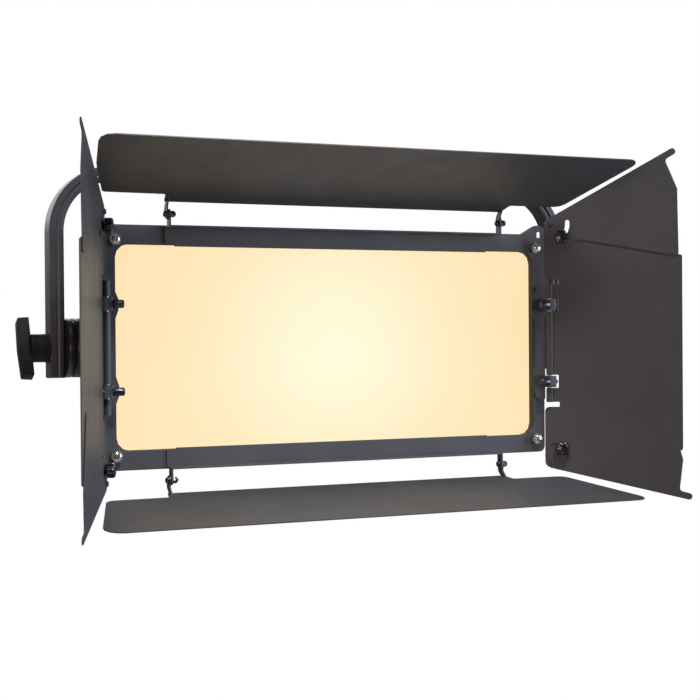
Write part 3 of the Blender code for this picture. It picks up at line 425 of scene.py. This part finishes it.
def merge(shape, part):
    """Add one bmesh to another."""
    mesh = bpy.data.meshes.new("part")
    part.to_mesh(mesh)
    part.free()
    shape.from_mesh(mesh)
    bpy.data.meshes.remove(mesh)


def bored(obj, *tools):
    """Take tool solids out of a piece."""
    for tool in tools:
        mesh = bpy.data.meshes.new("tool")
        tool.to_mesh(mesh)
        tool.free()
        other = bpy.data.objects.new("tool", mesh)
        bpy.context.scene.collection.objects.link(other)
        step = obj.modifiers.new("bore", "BOOLEAN")
        step.operation = "DIFFERENCE"
        step.solver = "EXACT"
        step.object = other
    bpy.context.view_layer.update()
    others = [step.object for step in obj.modifiers]
    applied(obj)
    for other in others:
        bpy.data.objects.remove(other)
    return obj


def plain_rod(start, end, radius, steps=32):
    """A bmesh cylinder, to be taken out of a piece."""
    start = Vector(start)
    along = Vector(end) - start
    shape = bmesh.new()
    turn = along.to_track_quat("Z", "Y").to_matrix().to_4x4()
    bmesh.ops.create_cone(shape, cap_ends=True, segments=steps, radius1=radius, radius2=radius,
                          depth=along.length,
                          matrix=Matrix.Translation(start + along / 2) @ turn)
    return shape


# ---- yoke ----
def yoke():
    """The bent bar with smooth bends, bands along both outer edges and its holes."""
    low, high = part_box("yoke")
    half = high.x
    bend = 0.085
    stops = [(Vector((-half, 0, low.z)), Vector((-1, 0, 0)))]
    for side in (-1, 1):
        centre = Vector((side * (half - bend), 0, -bend))
        for step in range(25):
            turn = pi / 2 * step / 24
            angle = pi - turn if side < 0 else pi / 2 - turn
            outward = Vector((cos(angle), 0, sin(angle)))
            stops.append((centre + bend * outward, outward))
    stops.append((Vector((half, 0, low.z)), Vector((1, 0, 0))))
    band = [(0.0, 0.0140), (0.0001, 0.0145), (0.0005, 0.0149), (0.0010, 0.0150), (0.0079, 0.0150),
            (0.0083, 0.0149), (0.0085, 0.0146), (0.0087, 0.0130), (0.0089, 0.0127), (0.0092, 0.0126),
            (0.0100, 0.0128), (0.0124, 0.0141), (0.0130, 0.0143), (0.0138, 0.0142), (0.0160, 0.0137),
            (0.0172, 0.0131), (0.0183, 0.0121), (0.0189, 0.0111), (0.0190, 0.0104)]
    section = band + [(inward, -y) for inward, y in reversed(band)]
    shape = bmesh.new()
    rings = [[shape.verts.new(place - outward * inward + Vector((0, y, 0))) for inward, y in section]
             for place, outward in stops]
    for first, second in zip(rings, rings[1:]):
        for index in range(len(first)):
            shape.faces.new((first[index - 1], first[index], second[index], second[index - 1]))
    shape.faces.new(rings[0])
    shape.faces.new(rings[-1])
    made = piece("yoke_detail", shape, BAR, BODY_OF["yoke"], SLOT_OF["yoke"], "yoke")
    tools = [plain_rod((0, 0, 0.01), (0, 0, -0.03), 0.0065)]
    for side in (-1, 1):
        tools.append(plain_rod((side * 0.045, 0, 0.01), (side * 0.045, 0, -0.03), 0.0042))
        tools.append(plain_rod((side * 0.34, 0, PIVOT.z), (side * 0.39, 0, PIVOT.z), 0.0056))
        for face in (-1, 1):
            corner = bmesh.new()
            outline = filleted([(-0.024, -0.046, 0), (0.024, -0.046, 0), (0.024, -0.018, 0),
                                (0.0155, -0.0375, 0.008), (0.0, -0.0380, 0), (-0.024, -0.0380, 0)], 10)
            turn = placed((side * 0.365, 0, PIVOT.z), (0, face, 0), (0, 0, 1))
            loops = [[corner.verts.new(turn @ Vector((*point, height))) for point in outline]
                     for height in (-0.03, 0.03)]
            for index in range(len(outline)):
                corner.faces.new((loops[0][index - 1], loops[0][index], loops[1][index],
                                  loops[1][index - 1]))
            corner.faces.new(loops[0])
            corner.faces.new(loops[1])
            bmesh.ops.recalc_face_normals(corner, faces=corner.faces)
            tools.append(corner)
    bored(made, *tools)
    made.data.shade_smooth()
    made.data.set_sharp_from_angle(angle=radians(180))
    rounded(made, 0.0005, 2, 50.0)


# ---- tilt joint ----
def tilt_side(side, word):
    """Discs, hub and the T-handle at one end of the tilt axis."""
    basis = placed(PIVOT, (0, side, 0), (0, 0, 1))
    disc_low, disc_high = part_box("tilt_disc_" + word)
    ends = sorted((abs(disc_low.x), abs(disc_high.x)))
    inner, arm = ends
    rim = 0.0375
    bore = 0.0056
    grooves = []
    place = arm - 0.0118
    while place > inner + 0.0012:
        grooves += [(rim, place), (rim - 0.0006, place - 0.0004), (rim - 0.0006, place - 0.0010),
                    (rim, place - 0.0014)]
        place -= 0.0022
    profile = [(bore, arm), (rim - 0.0012, arm), (rim - 0.0004, arm - 0.0003), (rim, arm - 0.0010),
               (rim, arm - 0.0076), (rim - 0.0004, arm - 0.0084), (rim - 0.0024, arm - 0.0090),
               (rim - 0.0030, arm - 0.0098), (rim - 0.0024, arm - 0.0106), (rim - 0.0003, arm - 0.0110),
               *grooves, (rim, inner + 0.0006), (rim - 0.0006, inner), (bore, inner)]
    shape = lathe(bmesh.new(), profile, basis, 96, closed=True)
    piece("tilt_disc_" + word + "_detail", shape, DISC, BODY_OF["tilt_disc_" + word],
          SLOT_OF["tilt_disc_" + word], "tilt_disc_" + word)
    hub_low, hub_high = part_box("tilt_hub_" + word)
    near, flange = sorted((abs(hub_low.x), abs(hub_high.x)))
    wall = near + 0.0043
    hub = [(bore, flange), (rim - 0.0007, flange), (rim, flange - 0.0007), (rim, flange - 0.0030),
           (rim - 0.0009, flange - 0.0034), (rim - 0.0009, flange - 0.0042), (rim, flange - 0.0046),
           (rim, flange - 0.0112), (rim - 0.0006, flange - 0.0119), (0.0310, flange - 0.0146),
           (0.0300, flange - 0.0156), (0.0300, wall + 0.0008), (0.0294, wall), (0.0120, wall),
           (0.0120, near), (bore, near)]
    shape = lathe(bmesh.new(), hub, basis, 96, closed=True)
    piece("tilt_hub_" + word + "_detail", shape, CASE, BODY_OF["tilt_hub_" + word],
          SLOT_OF["tilt_hub_" + word], "tilt_hub_" + word)
    handle(side, word)


def handle(side, word):
    """The T-handle: waisted boss, softly rounded wing and the steel stud."""
    node = "tilt_handle_" + word
    arm = 0.3753
    lean = Matrix.Translation(PIVOT) @ Matrix.Rotation(-radians(25), 4, "X")
    basis = lean @ placed((0, 0, 0), (0, side, 0), (0, 0, 1))
    boss = [(0.0, arm), (0.0180, arm), (0.0186, arm + 0.0006), (0.0186, arm + 0.0024),
            (0.0181, arm + 0.0030), (0.0178, arm + 0.0034), (0.0177, arm + 0.0180),
            (0.0171, arm + 0.0184), (0.0171, arm + 0.0188), (0.0176, arm + 0.0192),
            (0.0176, arm + 0.0222), (0.0166, arm + 0.0232), (0.0, arm + 0.0232)]
    shape = lathe(bmesh.new(), boss, basis, 64)
    near = arm + 0.0215
    far = near + 0.0145
    profile = filleted([(near, -0.0400, 0.0015), (near, 0.0400, 0.0015), (far, 0.0390, 0.0020),
                        (far + 0.0015, 0.0, 0.03), (far, -0.0390, 0.0020)], 15)
    prism(shape, profile, -0.0085, 0.0085, lean @ placed((0, 0, 0), (side, 0, 0), (0, 0, 1)), 0.0009)
    piece(node + "_detail", shape, GRIP, BODY_OF[node], SLOT_OF[node], node)
    stud = [(0.0, 0.3195), (0.0042, 0.3195), (0.0050, 0.3204)]
    place = 0.3210
    while place < arm - 0.002:
        stud += [(0.0050, place), (0.0046, place + 0.0005)]
        place += 0.0010
    stud += [(0.0050, arm + 0.001), (0.0, arm + 0.001)]
    shape = lathe(bmesh.new(), stud, placed(PIVOT, (0, side, 0), (0, 0, 1)), 24)
    piece(node + "_stud", shape, STEEL, BODY_OF[node], "steel")


# ---- screws, knobs and bolts ----
SCREW_HEAD = 0.0115             # length of a thumbscrew's head
KNOB_RADIUS = 0.0096
KNOB_LOBES = 6
KNOB_PITCH = 0.0007             # thread of the leaf knobs' screws
THREAD_TOP = 0.0021
BOLT_HEAD = 0.0038              # length of a hinge bolt's head
NUT_ACROSS = 0.0046             # from a hinge nut's middle to its corners
CLIP_SCREW_Z = 0.054            # from the lamp's pivot to the clips' screws


def thumbscrew(word):
    """Captive thumbscrew: knurled head, domed slotted crown and a waisted shank."""
    node = "thumbscrew_" + word
    low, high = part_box(node)
    x = (low.x + high.x) / 2
    z = (low.z + high.z) / 2
    basis = placed((x, high.y, z), (-1, 0, 0), (0, 0, 1))
    front = low.y - high.y
    back = front + SCREW_HEAD

    def knurl(angle, radius, height):
        return radius - (0.00035 * (1 + cos(28 * angle)) if radius > 0.0070 else 0.0)

    profile = [(0.0, front), (0.0030, front + 0.0002), (0.0046, front + 0.0009), (0.0054, front + 0.0020),
               (0.0056, front + 0.0030), (0.0066, front + 0.0031), (0.0074, front + 0.0037),
               (0.0076, front + 0.0045), (0.0076, back - 0.0022), (0.0074, back - 0.0014),
               (0.0064, back - 0.0010), (0.0060, back), (0.0019, back), (0.0019, -0.0004), (0.0, 0.0)]
    shape = lathe(bmesh.new(), profile, basis, 112, reach=knurl)
    made = piece(node + "_detail", shape, NICKEL, BODY_OF[node], SLOT_OF[node], node)
    slot = bmesh.new()
    round_box(slot, (x - 0.0007, low.y - 0.002, z - 0.009), (x + 0.0007, low.y + 0.0019, z + 0.009), 0.0002)
    bored(made, slot)
    made.data.shade_smooth()
    made.data.set_sharp_from_angle(angle=radians(32))


def leaf_knob(word):
    """Six-lobed knob with a dished top, its collar and its screw."""
    node = "leaf_knob_" + word
    joint = [entry for entry in frame["joints"] if entry["child"] == BODY_OF[node]][0]
    origin = Vector(joint["pos_m"])
    axis = Vector(joint["axis"]).normalized()
    offsets = [vertex.co - origin for vertex in NODES[node].data.vertices]
    wide = [axis.dot(o) for o in offsets if (o - axis * axis.dot(o)).length > 0.0070]
    slim = [axis.dot(o) for o in offsets if (o - axis * axis.dot(o)).length < 0.0025]
    if sum(wide) / len(wide) < sum(slim) / len(slim):
        axis = -axis
        wide = [-height for height in wide]
        slim = [-height for height in slim]
    top = max(wide)
    base = min(wide)
    foot = base - 0.0028
    tail = min(slim)
    basis = toward(origin, axis)

    def lobes(angle, radius, height):
        return radius if radius < 0.0075 else radius * (1 + 0.115 * cos(KNOB_LOBES * angle))

    profile = [(0.0, foot), (0.0056, foot), (0.0060, foot + 0.0004), (0.0064, base - 0.0002),
               (0.0088, base), (KNOB_RADIUS, base + 0.0008), (KNOB_RADIUS, top - 0.0030),
               (0.0093, top - 0.0014), (0.0083, top - 0.0005), (0.0066, top), (0.0050, top - 0.0001),
               (0.0046, top - 0.0006), (0.0032, top - 0.0004), (0.0, top - 0.0002)]
    shape = lathe(bmesh.new(), profile, basis, 72, reach=lobes)
    piece(node + "_detail", shape, GLOSS, BODY_OF[node], SLOT_OF[node], node)
    stud = [(0.0, tail), (0.0016, tail), (THREAD_TOP, tail + 0.0005)]
    place = tail + KNOB_PITCH
    while place < foot - 0.0003:
        stud += [(THREAD_TOP, place), (0.0018, place + 0.00035)]
        place += KNOB_PITCH
    stud += [(THREAD_TOP, foot + 0.0005), (0.0, foot + 0.0005)]
    shape = lathe(bmesh.new(), stud, basis, 20)
    piece(node + "_screw", shape, STEEL, BODY_OF[node], "steel")


def hinge_bolt(word):
    """Pivot bolt of a wide door: domed head, washer, shank and domed locking nut."""
    node = "hinge_bolt_" + word
    low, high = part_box(node)
    centre = (low + high) / 2
    basis = placed((low.x, centre.y, centre.z), (0, 1, 0), (0, 0, 1))
    long = high.x - low.x
    head = BOLT_HEAD
    shape = lathe(bmesh.new(), [(0.0, 0.0), (0.0022, 0.0002), (0.0036, 0.0011), (0.0042, 0.0024),
                                (0.0042, head - 0.0006), (0.0046, head - 0.0006), (0.0046, head),
                                (0.0020, head), (0.0020, head + 0.0008), (0.0020, long - 0.0006),
                                (0.0015, long), (0.0, long)], basis, 40)
    start = head + 0.0058
    hexagon = [(NUT_ACROSS * cos(pi / 3 * k), NUT_ACROSS * sin(pi / 3 * k)) for k in range(6)]
    prism(shape, [Vector(p) for p in hexagon], start, start + 0.0042, basis, 0.0004)
    lathe(shape, [(0.0, start + 0.0040), (0.0038, start + 0.0040), (0.0036, start + 0.0052),
                  (0.0027, start + 0.0060), (0.0, start + 0.0063)], basis, 32)
    piece(node + "_detail", shape, DARK_STEEL, BODY_OF[node], SLOT_OF[node], node)


def clip_screws(word):
    """The socket-head screws that pinch a side hinge's clips round the rod."""
    side = -1 if word == "left" else 1
    node = "hinge_bracket_" + word
    low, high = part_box(node)
    end = high.x if side < 0 else low.x
    profile = [(0.0, 0.0034), (0.0023, 0.0034), (0.0024, 0.0006), (0.0027, 0.0002), (0.0036, -0.0002),
               (0.0046, 0.0001), (0.0051, 0.0008), (0.0053, 0.0018), (0.0053, 0.0120), (0.0048, 0.0127),
               (0.0, 0.0127)]

    def knurl(angle, radius, height):
        return radius - (0.00012 * (1 + cos(30 * angle)) if radius > 0.0050 else 0.0)

    for level, sign in (("upper", 1), ("lower", -1)):
        centre = Vector((end, low.y + 0.0032, PIVOT.z + sign * CLIP_SCREW_Z))
        turned = lathe(bmesh.new(), profile, placed(centre, (0, side, 0), (0, 0, 1)), 90, reach=knurl)
        piece("clip_screw_" + word + "_" + level, turned, DARK_STEEL, BODY_OF[node], "steel", smooth=50.0)


# ---- front of the head ----
refined("barn_frame", FRAME, 0.00045)
refined("front_bezel", CASE, 0.0006)
refined("diffuser", OPAL, 0.0008).visible_glossy = False
refined("housing", CASE, 0.0008)
refined("rear_cover", CASE, 0.0005)
for place in ("top", "bottom"):
    refined("hinge_bracket_" + place, FRAME, 0.0003)
    refined(place + "_door", DOOR, 0.00035)
for place in ("left", "right"):
    refined("hinge_bracket_" + place, FRAME, 0.0003)
    clip_screws(place)
    refined(place + "_door", DOOR, 0.0003)
    refined("hinge_rod_" + place, STEEL, 0.0005)
    for level in ("upper", "lower"):
        refined("leaf_" + place + "_" + level, DOOR, 0.0003)
        leaf_knob(place + "_" + level)
for level in ("top", "bottom"):
    for place in ("left", "right"):
        thumbscrew(level + "_" + place)
        hinge_bolt(level + "_" + place)
yoke()
tilt_side(-1, "left")
tilt_side(1, "right")

# ---- back of the head ----
refined("control_panel", FRAME, 0.0003)
refined("display", screen_look(*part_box("display")), 0.0004)
refined("dial", GLOSS, 0.0003)
for name in ("menu", "up", "down", "enter"):
    refined("button_" + name, GLOSS, 0.0005)
for name in ("power_inlet", "power_outlet", "data_inlet", "data_outlet"):
    refined(name, MATTE, 0.0003)

# ---- inside ----
INSIDE = {"light_chamber": WHITE, "led_board": LED_BOARD, "heat_sink": ALUMINIUM,
          "power_supply": ALUMINIUM, "driver_board": GREEN, "control_board": GREEN,
          "fan_frame": MATTE, "fan_rotor": MATTE}
for node, look in INSIDE.items():
    mesh = NODES[node].data
    mesh.materials.clear()
    mesh.materials.append(look)

# ---- stage, light and camera ----
scene = bpy.context.scene
scene.view_settings.view_transform = "Standard"


def stage():
    """A pale floor well below the hanging light."""
    shape = bmesh.new()
    bmesh.ops.create_circle(shape, cap_ends=True, radius=2.6, segments=96,
                            matrix=Matrix.Translation((0, 0.2, -1.9)))
    mesh = bpy.data.meshes.new("floor")
    shape.to_mesh(mesh)
    shape.free()
    look = Look("pale_floor")
    look.join(look.ramp(look.noise(3.0), [(0.3, (0.80, 0.80, 0.80, 1)), (0.7, (0.84, 0.84, 0.84, 1))]),
              "Base Color")
    look.join(look.spread(look.noise(12.0), 0.55, 0.7), "Roughness")
    mesh.materials.append(look.made)
    floor = bpy.data.objects.new("floor", mesh)
    scene.collection.objects.link(floor)


def area(name, place, target, size, power, color=(1.0, 1.0, 1.0)):
    """A soft rectangular lamp that isn't seen itself."""
    light = bpy.data.lights.new(name, "AREA")
    light.shape = "RECTANGLE"
    light.size, light.size_y = size
    light.energy = power
    light.color = color
    lamp = bpy.data.objects.new(name, light)
    lamp.visible_camera = False
    aim = Vector(target) - Vector(place)
    lamp.matrix_world = Matrix.Translation(place) @ aim.to_track_quat("-Z", "Y").to_matrix().to_4x4()
    scene.collection.objects.link(lamp)
    return lamp


def spot(name, place, target, width, power, color):
    """A lamp with a soft cone, its width in degrees."""
    light = bpy.data.lights.new(name, "SPOT")
    light.spot_size = radians(width)
    light.spot_blend = 1.0
    light.shadow_soft_size = 0.12
    light.energy = power
    light.color = color
    lamp = bpy.data.objects.new(name, light)
    lamp.visible_camera = False
    aim = Vector(target) - Vector(place)
    lamp.matrix_world = Matrix.Translation(place) @ aim.to_track_quat("-Z", "Y").to_matrix().to_4x4()
    scene.collection.objects.link(lamp)


def studio():
    """A white surround and soft lamps."""
    world = bpy.data.worlds.new("studio")
    scene.world = world
    world.use_nodes = True
    nodes = world.node_tree.nodes
    links = world.node_tree.links
    back = nodes["Background"]
    back.inputs["Color"].default_value = (0.86, 0.92, 1.0, 1.0)
    back.inputs["Strength"].default_value = 0.14
    seen = nodes.new("ShaderNodeBackground")
    seen.inputs["Color"].default_value = (1.0, 1.0, 1.0, 1.0)
    seen.inputs["Strength"].default_value = 1.0
    path = nodes.new("ShaderNodeLightPath")
    mix = nodes.new("ShaderNodeMixShader")
    links.new(path.outputs["Is Camera Ray"], mix.inputs["Fac"])
    links.new(back.outputs["Background"], mix.inputs[1])
    links.new(seen.outputs["Background"], mix.inputs[2])
    links.new(mix.outputs["Shader"], nodes["World Output"].inputs["Surface"])
    area("side", (2.4, -1.3, 0.0), (-0.3, -0.1, -0.25), (1.2, 1.6), 70.0, (0.74, 0.81, 1.0))
    area("front", (-1.9, -2.2, -0.2), (0.5, 0.0, -0.25), (1.0, 0.7), 23.0, (1.0, 0.72, 0.64))
    area("above", (0.1, -1.1, 1.7), (0.0, -0.1, -0.35), (0.9, 0.6), 40.0, (0.90, 0.93, 1.0))
    spot("on_bottom_door", (0.0, -1.2, 1.3), (-0.03, -0.15, -0.42), 30.0, 150.0, (0.84, 0.89, 1.0))
    spot("on_top_door", (0.0, -1.2, -1.3), (0.0, -0.15, -0.03), 18.0, 40.0, (0.76, 0.83, 1.0))
    area("rear", (-0.6, 2.4, 0.9), (0.0, 0.0, -0.25), (2.4, 1.6), 35.0)


def camera():
    """The camera where the photograph was taken from."""
    lens = bpy.data.cameras.new("camera")
    lens.lens = 74.12
    lens.sensor_width = 36.0
    lens.clip_end = 50.0
    eye = bpy.data.objects.new("camera", lens)
    yaw, pitch, roll = 0.4189, -0.0097, -0.0078
    forward = Vector((sin(yaw) * cos(pitch), cos(yaw) * cos(pitch), sin(pitch)))
    right = Vector((cos(yaw), -sin(yaw), 0.0))
    up = right.cross(forward)
    across = cos(roll) * right + sin(roll) * up
    upward = -sin(roll) * right + cos(roll) * up
    turn = Matrix([[column[row] for column in (across, upward, -forward)] for row in range(3)]).to_4x4()
    eye.matrix_world = Matrix.Translation((-0.7662, -1.8152, -0.2197)) @ turn
    scene.collection.objects.link(eye)
    scene.camera = eye


stage()
studio()
camera()
